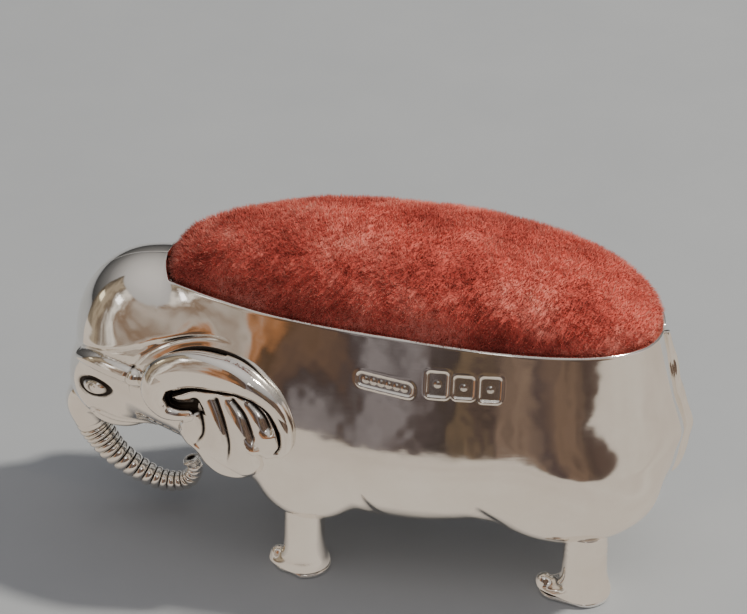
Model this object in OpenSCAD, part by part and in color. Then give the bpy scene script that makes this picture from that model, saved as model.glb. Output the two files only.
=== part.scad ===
// Silver elephant pin cushion: two die-struck half shells with applied ears, trunk, tail and legs,
// and a stuffed velvet pad pressed into the open back.
// Millimetres. +Z up, head towards -X, the elephant's left side towards -Y, feet standing on z = 0.

/* [Barrel] */
// Middle of the barrel along the body
barrel_x = 3.4; // [2.4:0.1:4.4]
// Half length of the barrel at its widest
barrel_half_length = 20.9; // [20:0.1:22]
// Half width of the barrel at its widest
barrel_half_width = 11.1; // [10.6:0.1:11.6]
// Height of the widest line above the table
barrel_widest_z = 12.4; // [12:0.1:13]
// Depth of the belly below the widest line
belly_depth = 8.9; // [8.5:0.1:9.2]
// Share of its length that the barrel loses on the way down to the belly's lowest point
belly_taper = 0.62; // [0.5:0.01:0.7]
// How far the side walls lean in for each millimetre of height
side_lean = 0.315; // [0.28:0.005:0.34]
// How far the rump leans in for each millimetre of height
end_lean = 0.24; // [0.16:0.01:0.24]
// How much wider the rump is than the shoulders
egg = 0.06; // [0:0.01:0.1]
// Thickness of the silver sheet
sheet = 0.5; // [0.4:0.05:0.6]

/* [Opening] */
// Height of the rim at the neck
rim_front_z = 22.7; // [22:0.1:23]
// Height of the rim at the rump
rim_rear_z = 20.8; // [20.5:0.1:21.5]
// How much the rim rises between its two ends
rim_arch = 0.9; // [0.5:0.1:1.2]
// Half length of the opening
opening_half_length = 19.6; // [19.2:0.1:20]
// Half width that the opening may take before the walls limit it
opening_half_width = 10.2; // [10:0.1:10.6]

/* [Cushion] */
// Height of the crown of the velvet above the table
crown_z = 28.2; // [27.5:0.1:29]
// Gap between the pad and the inside of the rim
pad_clearance = 0.2; // [0.1:0.05:0.4]
// Thickness of the velvet with its pile pressed down
velvet = 0.8; // [0.6:0.1:1]
// Thickness of the cotton bag
cotton = 0.4; // [0.3:0.1:0.5]
// Height of the underside of the pad
pad_bottom_z = 12.6; // [12:0.1:14]
// Thickness of the card under the stuffing
card = 1.0; // [0.8:0.1:1.2]
// Thickness of the gathering thread
thread = 0.7; // [0.5:0.1:0.8]

/* [Legs] */
// Front legs, distance in front of the middle of the part
front_leg_x = -4.3; // [-4.8:0.1:-3.8]
// Rear legs, distance behind the middle of the part
rear_leg_x = 17.9; // [17.5:0.1:18.3]
// Half of the track between left and right legs
leg_y = 6.9; // [6.6:0.1:7.1]
// Radius of a front leg
front_leg_r = 1.65; // [1.55:0.05:1.7]
// Radius of a rear leg
rear_leg_r = 1.8; // [1.7:0.05:1.9]
// Height of the front legs, up to the thigh
front_leg_top = 6.0; // [5.9:0.05:6.1]
// Height of the rear legs, up to the thigh
rear_leg_top = 5.9; // [5.8:0.05:6]
// Radius of the heel of a foot
heel_r = 2.05; // [2:0.05:2.2]
// Radius of the toe of a foot
toe_r = 1.5; // [1.4:0.05:1.6]
// Thickness of the sole plate that closes a foot
sole = 0.4; // [0.3:0.05:0.5]

/* [Head] */
// Radius of the trunk where it leaves the face
trunk_root_r = 1.9; // [1.8:0.1:2]
// Radius of the trunk at its tip
trunk_tip_r = 0.58; // [0.55:0.01:0.62]
// Height of the ring ridges on the trunk
ridge = 0.1; // [0.06:0.01:0.12]
// Number of ring ridges
ridges = 15; // [12:1:18]
// Thickness of an ear above the neck
ear_lift = 0.7; // [0.5:0.1:1]
// Radius of the rolled edge of an ear
ear_roll_r = 0.85; // [0.7:0.05:0.95]
// Radius of the tail ridge
tail_r = 0.5; // [0.4:0.05:0.75]

/* [Hidden] */

// The rounded forms that the barrel runs into. Each is an ellipsoid on both sides of the middle:
// centre, half length, half width, depth below the centre, height above it, width of the blend.
SHOULDERS = [[-6.0, 0, 13.6], 9.4, 10.0, 8.2, 9.6, 2.6];
NECK = [[-13.2, 0, 15.2], 8.4, 7.6, 6.8, 8.2, 2.6];
FOREHEAD = [[-17.5, 0, 16.2], 6.2, 5.9, 6.4, 7.1, 2.2];
FACE = [[-19.9, 0, 12.2], 4.6, 4.6, 4.2, 4.6, 1.6];
FRONT_THIGH = [[-3.5, 6.6, 10.2], 5.1, 4.1, 5.2, 6.5, 0.8];
REAR_THIGH = [[15.8, 5.2, 9.6], 7.4, 4.8, 5.1, 4.4, 2.4];
RUMP = [[14.9, 0, 11.4], 9.6, 9.6, 8.2, 6.0, 2.0];
FORMS = [SHOULDERS, NECK, FOREHEAD, FACE, FRONT_THIGH, REAR_THIGH, RUMP];

plan_power = 2.3;
oval_power = 2.2;
wall_ease = 1.6;
spine_z = 13.3;
spine_front_x = -17;
spine_rear_x = 14;
around = 20;
trunk_sides = 14;
solder = 0.05;
silver = "lightgray";

// ---- the body's surface, as a distance that is negative inside

function eased(t) = let (u = min(max(t, 0), 1)) u * u * (3 - 2 * u);
function blend(a, b, k) = let (h = max(k - abs(a - b), 0) / k) min(a, b) - h * h * h * k / 6;
function ellipsoid(p, r) = let (
    q = [p.x / r.x, p.y / r.y, p.z / r.z],
    g = [q.x / r.x, q.y / r.y, q.z / r.z]
) norm(q) * (norm(q) - 1) / max(norm(g), 1e-6);

function form(p, f) = let (
    up = eased((p.z - f[0].z) / 5 + 0.5),
    height = f[3] + (f[4] - f[3]) * up
) ellipsoid([p.x - f[0].x, abs(p.y) - f[0].y, p.z - f[0].z], [f[1], f[2], height]);

function wall_rise(z) = let (up = max(z - barrel_widest_z, 0))
    sqrt(up * up + wall_ease * wall_ease) - wall_ease;
function belly_share(z) = pow(min(max((barrel_widest_z - z) / belly_depth, 0), 1), 1.5);
function barrel_length_at(z) =
    (barrel_half_length - end_lean * wall_rise(z)) * (1 - belly_taper * belly_share(z));
function barrel_width_at(x, z) =
    let (along = min(max((x - barrel_x) / barrel_length_at(z), -1.3), 1.3))
    (barrel_half_width - side_lean * wall_rise(z)) * (1 + egg * along);

function barrel(p) = let (
    a = barrel_length_at(p.z),
    b = barrel_width_at(p.x, p.z),
    x = abs(p.x - barrel_x) / a,
    y = abs(p.y) / b,
    z = min(p.z - barrel_widest_z, 0) / belly_depth,
    plan = pow(pow(x, plan_power) + pow(y, plan_power), 1 / plan_power),
    k0 = norm([plan, z]),
    k1 = norm([x / a, y / b, z / belly_depth])
) k0 * (k0 - 1) / max(k1, 1e-6);

function blended(p, d, i) = i == len(FORMS) ? d
    : blended(p, blend(d, form(p, FORMS[i]), FORMS[i][5]), i + 1);
function body_at(p) = blended(p, barrel(p), 0);

function outward(p, e = 0.05) = let (
    g = [body_at(p + [e, 0, 0]) - body_at(p - [e, 0, 0]),
         body_at(p + [0, e, 0]) - body_at(p - [0, e, 0]),
         body_at(p + [0, 0, e]) - body_at(p - [0, 0, e])]
) g / norm(g);

// Distance from a point inside the body to its surface, by halving
function reach(start, way, low = 0, high = 34, steps = 17) =
    let (middle = (low + high) / 2)
    steps == 0 ? middle
    : body_at(start + way * middle) < 0 ? reach(start, way, middle, high, steps - 1)
    : reach(start, way, low, middle, steps - 1);

// ---- the opening in the back

function rim_z(x) = let (t = (x - barrel_x + opening_half_length) / (2 * opening_half_length))
    rim_front_z + (rim_rear_z - rim_front_z) * t + 4 * rim_arch * t * (1 - t);
function oval(x, y) = pow(pow(abs(x / opening_half_length), oval_power)
    + pow(abs(y / opening_half_width), oval_power), 1 / oval_power);
function opened(p) = min(p.z - rim_z(p.x), (1 - oval(p.x - barrel_x, p.y)) * opening_half_width);

// ---- the half shell: rays fan round the head, run along the spine and fan round the rump

// Each stretch is a start, an end and a number of steps; the steps are short where the rim crosses
// from side to side at the neck and at the rump.
function stretch(from, to, steps) = [for (i = [0:steps - 1]) from + (to - from) * i / steps];
neck_x = -13;
rump_turn = -39;
rump_close = -51;
STATIONS = [
    for (turn = stretch(90, 0, 8)) [spine_front_x, turn],
    for (x = stretch(spine_front_x, neck_x, 10)) [x, 0],
    for (x = stretch(neck_x, spine_rear_x, 17)) [x, 0],
    for (turn = stretch(0, rump_turn, 4)) [spine_rear_x, turn],
    for (turn = stretch(rump_turn, rump_close, 6)) [spine_rear_x, turn],
    for (turn = stretch(rump_close, -90, 4)) [spine_rear_x, turn],
    [spine_rear_x, -90]
];
function ray_way(station, angle) = let (turn = station[1])
    [-sin(turn), -cos(turn) * cos(angle), cos(turn) * sin(angle)];
function skin_point(station, angle) =
    let (start = [station[0], 0, spine_z], way = ray_way(station, angle)) start + way * reach(start, way);
function top_angle(station, low = 0, high = 90, steps = 12) =
    let (middle = (low + high) / 2)
    steps == 12 && opened(skin_point(station, 90)) <= 0 ? 90
    : steps == 0 ? low
    : opened(skin_point(station, middle)) < 0 ? top_angle(station, middle, high, steps - 1)
    : top_angle(station, low, middle, steps - 1);

module half_shell() {
    rows = len(STATIONS) - 2;
    row_points = around + 1;
    inner_start = rows * row_points + 2;
    outer = [
        skin_point(STATIONS[0], 0),
        for (i = [1:rows]) let (top = top_angle(STATIONS[i]))
            for (j = [0:around]) skin_point(STATIONS[i], -90 + (top + 90) * j / around),
        skin_point(STATIONS[rows + 1], 0)
    ];
    inner = [for (p = outer) p - outward(p) * sheet];
    function at(i, j) = i == 0 ? 0 : i > rows ? inner_start - 1 : 1 + (i - 1) * row_points + j;
    function skin(s, turn) = [
        for (j = [0:around - 1])
            turn ? [s, s + at(1, j), s + at(1, j + 1)] : [s, s + at(1, j + 1), s + at(1, j)],
        for (i = [1:rows - 1]) for (j = [0:around - 1])
            turn ? [s + at(i, j), s + at(i + 1, j), s + at(i + 1, j + 1)]
                 : [s + at(i, j), s + at(i + 1, j + 1), s + at(i + 1, j)],
        for (i = [1:rows - 1]) for (j = [0:around - 1])
            turn ? [s + at(i, j), s + at(i + 1, j + 1), s + at(i, j + 1)]
                 : [s + at(i, j), s + at(i, j + 1), s + at(i + 1, j + 1)],
        for (j = [0:around - 1]) let (last = s + at(rows + 1, 0))
            turn ? [s + at(rows, j), last, s + at(rows, j + 1)]
                 : [s + at(rows, j), s + at(rows, j + 1), last]
    ];
    function edge_wall(j, turn) = [
        for (i = [0:rows]) let (a = at(i, j), b = at(i + 1, j), s = inner_start)
            turn ? [a, a + s, b] : [a, b, a + s],
        for (i = [0:rows]) let (a = at(i, j), b = at(i + 1, j), s = inner_start)
            turn ? [b, a + s, b + s] : [b, b + s, a + s]
    ];
    polyhedron(
        points = concat(outer, inner),
        faces = concat(
            skin(0, false), skin(inner_start, true), edge_wall(0, false), edge_wall(around, true)
        ),
        convexity = 6);
}

// ---- curves through a few chosen points, and tubes along them

function curve_point(a, b, c, d, t) = 0.5 * ((2 * b) + (c - a) * t + (2 * a - 5 * b + 4 * c - d) * t * t
    + (3 * b - a - 3 * c + d) * t * t * t);
function open_curve(points, steps) = let (n = len(points)) [
    for (i = [0:n - 2]) for (s = [0:steps - 1])
        curve_point(points[max(i - 1, 0)], points[i], points[i + 1], points[min(i + 2, n - 1)], s / steps),
    points[n - 1]
];
function closed_curve(points, steps) = let (n = len(points)) [
    for (i = [0:n - 1]) for (s = [0:steps - 1])
        curve_point(points[(i + n - 1) % n], points[i], points[(i + 1) % n], points[(i + 2) % n], s / steps)
];
function unit(v) = v / norm(v);
function tube_ring(middle, along, side, r, sides) =
    let (u = unit(cross(along, side)), v = unit(cross(along, u)))
    [for (k = [0:sides - 1]) middle + r * (cos(360 * k / sides) * u + sin(360 * k / sides) * v)];

// A tube along a path, with a radius for each point and closed flat ends
module tube(path, radii, side, sides) {
    n = len(path);
    points = [
        for (i = [0:n - 1]) each
            tube_ring(path[i], path[min(i + 1, n - 1)] - path[max(i - 1, 0)], side, radii[i], sides)
    ];
    polyhedron(points = points, faces = [
        [for (k = [0:sides - 1]) k],
        for (i = [0:n - 2]) for (k = [0:sides - 1]) let (a = i * sides + k, b = i * sides + (k + 1) % sides)
            [a, a + sides, b + sides],
        for (i = [0:n - 2]) for (k = [0:sides - 1]) let (a = i * sides + k, b = i * sides + (k + 1) % sides)
            [a, b + sides, b],
        [for (k = [0:sides - 1]) (n - 1) * sides + sides - 1 - k]
    ], convexity = 6);
}

// ---- trunk, tail and ears

// Middle line of the trunk, from the face round to the tip: x, z and radius
TRUNK_LINE = [
    [-22.4, 10.2, trunk_root_r], [-23.35, 8.8, 1.7], [-22.95, 6.9, 1.38], [-22.35, 5.8, 1.25],
    [-21.3, 4.3, 1.1], [-19.35, 2.7, 0.94], [-17.25, 1.8, 0.82], [-15.4, 2.05, 0.72],
    [-14.65, 3.2, 0.64], [-14.95, 4.2, trunk_tip_r]
];
trunk_steps = 8;

module trunk_body() {
    line = open_curve(TRUNK_LINE, trunk_steps);
    last = len(line) - 1;
    tube([for (p = line) [p.x, 0, p.y]],
        [for (i = [0:last]) line[i].z + ridge * cos(360 * ridges * i / last)],
        [0, 1, 0], trunk_sides);
}

tail_proud = 0.27;
TAIL_HEIGHTS = [19.6, 17.8, 15.8, 13.6, 11.6, 9.6, 8.0];
module tail_ridge() {
    start_x = spine_rear_x;
    middle_x = function(z) start_x + reach([start_x, 0, z], [1, 0, 0]) + tail_r * tail_proud;
    touching = [for (z = TAIL_HEIGHTS) [middle_x(z), 0, z]];
    line = open_curve(touching, 3);
    last = len(line) - 1;
    radii = [for (i = [0:last]) tail_r * (0.55 + 0.45 * sin(180 * (i + 1) / (last + 2)))];
    tube(line, radii, [0, 1, 0], 10);
}

// Outline of an ear seen from the side, from its front edge over the top: x and z
EAR_OUTLINE = [
    [-17.5, 14.3], [-16.6, 17.4], [-13.6, 19.5], [-10.0, 19.0], [-6.6, 16.6], [-4.5, 13.2],
    [-5.2, 11.7], [-6.9, 11.3], [-9.1, 9.2], [-10.6, 10.1], [-11.9, 10.0], [-13.6, 11.6], [-15.6, 12.2]
];
// Middle line of the rolled edge, from the inner curl round to the tip: x, z and share of the radius
EAR_ROLL = [
    [-13.6, 14.7, 0.6], [-15.2, 14.4, 0.8], [-16.5, 15.2, 0.95], [-15.8, 17.2, 1], [-13.1, 18.6, 1],
    [-9.5, 18.1, 1], [-6.6, 15.9, 1], [-5.5, 13.7, 0.8], [-5.7, 12.4, 0.5]
];
EAR_MIDDLE = [-11.0, 14.4];
EAR_RINGS = [0.2, 0.4, 0.55, 0.66, 0.74, 0.81, 0.88, 0.95, 1];
ear_ribs = 11;
ear_rib_height = 0.2;
ear_plane_x = -17.5;
ear_plane_y = 6.4;
ear_plane_slope = 0.28;
roll_line = open_curve(EAR_ROLL, 4);

function skin_y(x, z) = reach([x, 0, z], [0, -1, 0]);
function roll_height(q) = max([
    for (c = roll_line) let (r = ear_roll_r * c.z, d = norm(q - [c.x, c.y])) d < r ? sqrt(r * r - d * d) : 0
]);
function rib_height(q) = let (v = q - EAR_MIDDLE, r = norm(v))
    ear_rib_height * min(r / 3, 1) * (1 + cos(ear_ribs * atan2(v.y, v.x))) / 2;
function ear_face_y(q) = max(skin_y(q.x, q.y), ear_plane_y + ear_plane_slope * (q.x - ear_plane_x))
    + ear_lift + max(roll_height(q), rib_height(q));

// One closed solid between the neck and the front face of the ear
module ear() {
    outline = closed_curve(EAR_OUTLINE, 3);
    n = len(outline);
    rings = len(EAR_RINGS);
    flat = [EAR_MIDDLE, for (r = EAR_RINGS) for (p = outline) EAR_MIDDLE + (p - EAR_MIDDLE) * r];
    s = len(flat);
    edge = 1 + (rings - 1) * n;
    function at(r, k) = 1 + r * n + k % n;
    polyhedron(points = concat(
        [for (q = flat) [q.x, -ear_face_y(q), q.y]],
        [for (q = flat) [q.x, -skin_y(q.x, q.y) + solder, q.y]]
    ), faces = [
        for (k = [0:n - 1]) [0, at(0, k), at(0, k + 1)],
        for (r = [0:rings - 2]) for (k = [0:n - 1]) [at(r, k), at(r + 1, k), at(r + 1, k + 1)],
        for (r = [0:rings - 2]) for (k = [0:n - 1]) [at(r, k), at(r + 1, k + 1), at(r, k + 1)],
        for (k = [0:n - 1]) [s, s + at(0, k + 1), s + at(0, k)],
        for (r = [0:rings - 2]) for (k = [0:n - 1]) [s + at(r, k), s + at(r + 1, k + 1), s + at(r + 1, k)],
        for (r = [0:rings - 2]) for (k = [0:n - 1]) [s + at(r, k), s + at(r, k + 1), s + at(r + 1, k + 1)],
        for (k = [0:n - 1]) [edge + k, s + edge + k, s + edge + (k + 1) % n],
        for (k = [0:n - 1]) [edge + k, s + edge + (k + 1) % n, edge + (k + 1) % n]
    ], convexity = 6);
}

// ---- legs and soles

foot_top = 1.6;
front_toe = 0.95;
rear_toe = 2.0;
function leg_profile(r, top) = [
    [r + 0.1, top], [r - 0.05, 3.6], [r, 2.6], [r + 0.35, foot_top], [heel_r, 0.8], [heel_r, sole]
];

module foot_outline(toe) {
    circle(r = heel_r, $fn = 48);
    translate([-toe, 0])
        circle(r = toe_r, $fn = 48);
    polygon([[0, -heel_r], [0, heel_r], [-toe, toe_r], [-toe, -toe_r]]);
}

module leg(r, top, toe) {
    outside = leg_profile(r, top);
    inside = [for (i = [len(outside) - 1:-1:0]) outside[i] - [sheet, 0]];
    rotate_extrude($fn = 48)
        polygon(concat(outside, inside));
    translate([0, 0, sole])
        linear_extrude(0.5)
            difference() {
                foot_outline(toe);
                circle(r = heel_r - sheet, $fn = 48);
            }
    hull() {
        translate([-toe - toe_r + 0.3, 0, 1.0])
            sphere(r = 0.6, $fn = 24);
        translate([-toe, 0, sole])
            cylinder(r = 1.2, h = 0.4, $fn = 32);
        translate([-heel_r + 0.25, 0, sole])
            cylinder(r = 0.2, h = 0.9, $fn = 32);
    }
}

module sole_plate(toe) {
    linear_extrude(sole)
        foot_outline(toe);
}

// ---- the cushion

dome_base_drop = 0.6;
dome_power = 2.2;
layer_gap = 0.05;
bag_inset = velvet + layer_gap;
stuffing_inset = bag_inset + cotton + layer_gap;
hem = 2.5;
hem_thickness = 0.5;
pad_steps = 40;
packing_bottom = 7.6;
packing_top = 11.2;
packing_half = 8;
packing_r = 4;

function signed_power(v, p) = sign(v) * pow(abs(v), p);
rim_front_x = barrel_x - opening_half_length;
rim_rear_x = spine_rear_x + reach([spine_rear_x, 0, rim_rear_z], [1, 0, 0]);
pad_middle_x = (rim_front_x + rim_rear_x) / 2;
pad_reach = (rim_rear_x - rim_front_x) / 2;

// Half the width of the opening at one place along the back
function rim_half_width(x) = let (u = min(abs((x - barrel_x) / opening_half_length), 1))
    min(opening_half_width * pow(1 - pow(u, oval_power), 1 / oval_power), skin_y(x, rim_z(x)));

// The rim seen from above, and lines inside it at an even distance
RIM_PLAN = [
    for (k = [0:pad_steps - 1]) let (
        x = pad_middle_x + (pad_reach - 0.01) * signed_power(cos(360 * k / pad_steps), 2 / plan_power)
    ) [x, k % (pad_steps / 2) == 0 ? 0 : sign(sin(360 * k / pad_steps)) * rim_half_width(x)]
];
function pad_outline(inset) = [
    for (k = [0:pad_steps - 1]) let (
        along = unit(RIM_PLAN[(k + 1) % pad_steps] - RIM_PLAN[(k + pad_steps - 1) % pad_steps])
    ) RIM_PLAN[k] + (sheet + pad_clearance + inset) * [-along.y, along.x]
];
function dome_z(x, r, inset) =
    let (base = rim_z(x) - dome_base_drop)
    base + (crown_z - rim_z(barrel_x) + dome_base_drop - inset)
        * pow(max(1 - pow(r, dome_power), 0), 1 / dome_power);
DOME_RINGS = [0.3, 0.55, 0.75, 0.88, 0.96, 1];

// A solid pad: flat below, upright sides and a crowned top
module pad(inset, bottom) {
    outline = pad_outline(inset);
    rings = len(DOME_RINGS);
    n = pad_steps;
    points = [
        [pad_middle_x, 0, dome_z(pad_middle_x, 0, inset)],
        for (r = DOME_RINGS) for (p = outline)
            let (x = pad_middle_x + (p.x - pad_middle_x) * r) [x, p.y * r, dome_z(x, r, inset)],
        for (p = outline) [p.x, p.y, bottom]
    ];
    function at(r, k) = 1 + r * n + k % n;
    polyhedron(points = points, faces = [
        for (k = [0:n - 1]) [0, at(0, k + 1), at(0, k)],
        for (r = [0:rings - 1]) for (k = [0:n - 1]) [at(r, k), at(r + 1, k + 1), at(r + 1, k)],
        for (r = [0:rings - 1]) for (k = [0:n - 1]) [at(r, k), at(r, k + 1), at(r + 1, k + 1)],
        [for (k = [0:n - 1]) at(rings, k)]
    ], convexity = 4);
}

module pad_plate(inset, height) {
    linear_extrude(height)
        polygon(pad_outline(inset));
}

// ---- one module per sub-part

module body_shell_left() {
    color(silver) half_shell();
}
module body_shell_right() {
    color(silver) mirror([0, 1, 0]) half_shell();
}
module ear_left() {
    color(silver) ear();
}
module ear_right() {
    color(silver) mirror([0, 1, 0]) ear();
}
module trunk() {
    color(silver) trunk_body();
}
module tail() {
    color(silver) tail_ridge();
}
module leg_front_left() {
    color(silver) translate([front_leg_x, -leg_y, 0]) leg(front_leg_r, front_leg_top, front_toe);
}
module leg_front_right() {
    color(silver) translate([front_leg_x, leg_y, 0]) leg(front_leg_r, front_leg_top, front_toe);
}
module leg_rear_left() {
    color(silver) translate([rear_leg_x, -leg_y, 0]) leg(rear_leg_r, rear_leg_top, rear_toe);
}
module leg_rear_right() {
    color(silver) translate([rear_leg_x, leg_y, 0]) leg(rear_leg_r, rear_leg_top, rear_toe);
}
module sole_front_left() {
    color(silver) translate([front_leg_x, -leg_y, 0]) sole_plate(front_toe);
}
module sole_front_right() {
    color(silver) translate([front_leg_x, leg_y, 0]) sole_plate(front_toe);
}
module sole_rear_left() {
    color(silver) translate([rear_leg_x, -leg_y, 0]) sole_plate(rear_toe);
}
module sole_rear_right() {
    color(silver) translate([rear_leg_x, leg_y, 0]) sole_plate(rear_toe);
}
module velvet_cover() {
    color("firebrick") {
        difference() {
            pad(0, pad_bottom_z);
            pad(velvet, pad_bottom_z - 1);
        }
        difference() {
            translate([0, 0, pad_bottom_z - hem_thickness])
                pad_plate(0, hem_thickness);
            translate([0, 0, pad_bottom_z - 2 * hem_thickness])
                pad_plate(hem, 3 * hem_thickness);
        }
    }
}
module cotton_bag() {
    color("wheat") difference() {
        pad(bag_inset, pad_bottom_z + card + layer_gap);
        pad(bag_inset + cotton, pad_bottom_z);
    }
}
module stuffing() {
    color("burlywood") pad(stuffing_inset, pad_bottom_z + card + layer_gap);
}
module backing_card() {
    color("tan") translate([0, 0, pad_bottom_z]) pad_plate(bag_inset, card);
}
module gather_thread() {
    line = [for (p = concat(pad_outline(hem), [pad_outline(hem)[0]])) [p.x, p.y, pad_bottom_z - thread]];
    color("white") tube(line, [for (p = line) thread / 2 - 0.05], [0, 0, 1], 8);
}
module belly_packing() {
    color("gray") translate([pad_middle_x, 0, packing_bottom])
        linear_extrude(packing_top - packing_bottom) {
            square([2 * packing_half, 2 * packing_r], center = true);
            for (end = [-1, 1])
                translate([end * packing_half, 0])
                    circle(r = packing_r, $fn = 48);
        }
}

body_shell_left();
body_shell_right();
ear_left();
ear_right();
trunk();
tail();
leg_front_left();
leg_front_right();
leg_rear_left();
leg_rear_right();
sole_front_left();
sole_front_right();
sole_rear_left();
sole_rear_right();
velvet_cover();
cotton_bag();
stuffing();
backing_card();
gather_thread();
belly_packing();
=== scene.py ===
import math
from itertools import product
import bmesh
import bpy
import numpy as np
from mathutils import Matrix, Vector


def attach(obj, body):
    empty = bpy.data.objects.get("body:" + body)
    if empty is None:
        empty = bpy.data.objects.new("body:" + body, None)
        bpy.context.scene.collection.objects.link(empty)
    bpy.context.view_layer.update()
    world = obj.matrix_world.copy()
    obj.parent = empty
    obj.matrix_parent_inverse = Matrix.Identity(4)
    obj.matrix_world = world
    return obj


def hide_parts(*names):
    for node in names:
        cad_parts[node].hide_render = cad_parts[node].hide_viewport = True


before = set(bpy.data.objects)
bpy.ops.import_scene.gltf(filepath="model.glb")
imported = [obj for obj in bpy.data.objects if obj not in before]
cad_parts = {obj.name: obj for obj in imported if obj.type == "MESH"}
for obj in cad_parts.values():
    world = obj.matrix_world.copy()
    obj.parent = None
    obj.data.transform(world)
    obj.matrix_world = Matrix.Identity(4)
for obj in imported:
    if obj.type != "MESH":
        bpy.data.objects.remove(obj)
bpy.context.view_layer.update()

# The looks of the silver elephant pin cushion. Shapes are worked out in millimetres, in the same
# frame as the CAD, and become metres when a mesh is made.
MM = 0.001
RNG = np.random.default_rng(7)


# -------- small helpers

def smooth(t):
    u = np.clip(t, 0.0, 1.0)
    return u * u * (3.0 - 2.0 * u)


def between(value, a, b):
    """0 up to a, 1 from b on, and a smooth step in between"""
    return smooth((value - a) / (b - a))


def soft_min(a, b, k):
    h = np.maximum(k - np.abs(a - b), 0.0) / k
    return np.minimum(a, b) - h * h * h * k / 6.0


def unit(v):
    return v / np.maximum(np.linalg.norm(v, axis=-1, keepdims=True), 1e-12)


def xyz(x, y, z):
    """Points from their three coordinates, each an array or one number"""
    return np.stack(np.broadcast_arrays(x, y, z), -1)


def open_curve(points, steps):
    """A smooth line through a few chosen points"""
    p = np.array(points, float)
    t = np.linspace(0, 1, steps, endpoint=False)[:, None]
    out = []
    for i in range(len(p) - 1):
        a, b, c, d = p[max(i - 1, 0)], p[i], p[i + 1], p[min(i + 2, len(p) - 1)]
        out.append(0.5 * (2 * b + (c - a) * t + (2 * a - 5 * b + 4 * c - d) * t * t
                          + (3 * b - a - 3 * c + d) * t * t * t))
    return np.concatenate(out + [p[-1:]])


def closed_curve(points, steps):
    p = np.array(points, float)
    line = open_curve(np.concatenate([p[-1:], p, p[:2]]), steps)
    return line[steps:-steps - 1]


def to_line(q, line, closed=False):
    """Distance from each point to a line of points, and the place along the line from 0 to 1"""
    a, b = line, np.roll(line, -1, 0)
    if not closed:
        a, b = a[:-1], b[:-1]
    best = np.full(len(q), 1e9)
    place = np.zeros(len(q))
    for i, (s, e) in enumerate(zip(a, b)):
        way = e - s
        t = np.clip(((q - s) @ way) / max(way @ way, 1e-12), 0, 1)
        d = np.linalg.norm(q - s - t[:, None] * way, axis=1)
        nearer = d < best
        best[nearer] = d[nearer]
        place[nearer] = ((i + t) / len(a))[nearer]
    return best, place


def to_curve(q, points, steps=8):
    return to_line(q, open_curve(points, steps))


def inside(q, line):
    """Whether each point lies inside a closed line"""
    x, y = q[:, 0], q[:, 1]
    result = np.zeros(len(q), bool)
    for (x0, y0), (x1, y1) in zip(line, np.roll(line, -1, 0)):
        crosses = (y0 > y) != (y1 > y)
        at = x0 + (y - y0) * (x1 - x0) / (y1 - y0 if y1 != y0 else 1e-12)
        result ^= crosses & (x < at)
    return result


# Large numbers that scatter a cell's place and a seed
CELL_HASH, SEED_HASH, SPREAD = (73856093, 19349663, 83492791), 2654435761, 1274126177


def lattice_noise(p, scale, seed):
    """Smooth noise from -1 to 1 at points in millimetres"""
    q = p * scale + seed * 17.31
    cell = np.floor(q).astype(np.int64)
    f = smooth(q - cell)
    total = np.zeros(len(p))
    for corner in product((0, 1), repeat=3):
        a, b, c = ((cell + corner) * CELL_HASH).T
        h = a ^ b ^ c ^ (seed * SEED_HASH)
        h = (h ^ (h >> 13)) * SPREAD
        value = ((h ^ (h >> 16)) & 0xFFFF) / 32767.5 - 1.0
        w = np.where(corner, f, 1 - f)
        total += value * (w[:, 0] * w[:, 1]) * w[:, 2]
    return total


def put_in_scene(name, data):
    thing = bpy.data.objects.new(name, data)
    bpy.context.scene.collection.objects.link(thing)
    return thing


def make_mesh(name, points, faces, flat=(), **layers):
    """A mesh object from millimetres. flat lists the faces that keep hard edges."""
    mesh = bpy.data.meshes.new(name)
    mesh.from_pydata((np.asarray(points) * MM).tolist(), [], faces)
    smooth_face = np.ones(len(mesh.polygons), bool)
    smooth_face[list(flat)] = False
    mesh.polygons.foreach_set("use_smooth", smooth_face)
    for layer, values in layers.items():
        attribute = mesh.attributes.new(layer, "FLOAT", "POINT")
        attribute.data.foreach_set("value", np.asarray(values, np.float32))
    mesh.update()
    return put_in_scene(name, mesh)


def read_points(mesh, what="co"):
    """Each vertex's place in metres, or its normal"""
    values = np.zeros(len(mesh.vertices) * 3, np.float32)
    mesh.vertices.foreach_get(what, values)
    return values.reshape(-1, 3).astype(float)


def write_points(mesh, points):
    mesh.vertices.foreach_set("co", np.asarray(points, np.float32).ravel())
    mesh.update()


def mirrored(piece, name):
    """The same piece on the other side of the middle plane"""
    mesh = piece.data.copy()
    mesh.name = name
    write_points(mesh, read_points(mesh) * (1, -1, 1))
    mesh.flip_normals()
    return put_in_scene(name, mesh)


def rework(piece, change):
    """Runs a change on the piece's mesh in its editable form"""
    bm = bmesh.new()
    bm.from_mesh(piece.data)
    change(bm)
    bm.to_mesh(piece.data)
    bm.free()


def weld(piece, distance=1e-7):
    """Joins points that lie on each other, such as the many at a pole"""
    def join(bm):
        bmesh.ops.remove_doubles(bm, verts=bm.verts, dist=distance)
        bmesh.ops.dissolve_degenerate(bm, edges=bm.edges, dist=distance)
    rework(piece, join)
    return piece


def grid_faces(rows, columns, wrap=False, start=0, turn=False):
    """Quads of a grid of points stored row by row"""
    r, c = np.meshgrid(np.arange(rows - 1), np.arange(columns if wrap else columns - 1), indexing="ij")
    a = start + r * columns + c
    b = start + r * columns + (c + 1) % columns
    quads = np.stack([a, b, b + columns, a + columns], -1).reshape(-1, 4)
    return (quads[:, ::-1] if turn else quads).tolist()


# -------- the body's form

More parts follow.
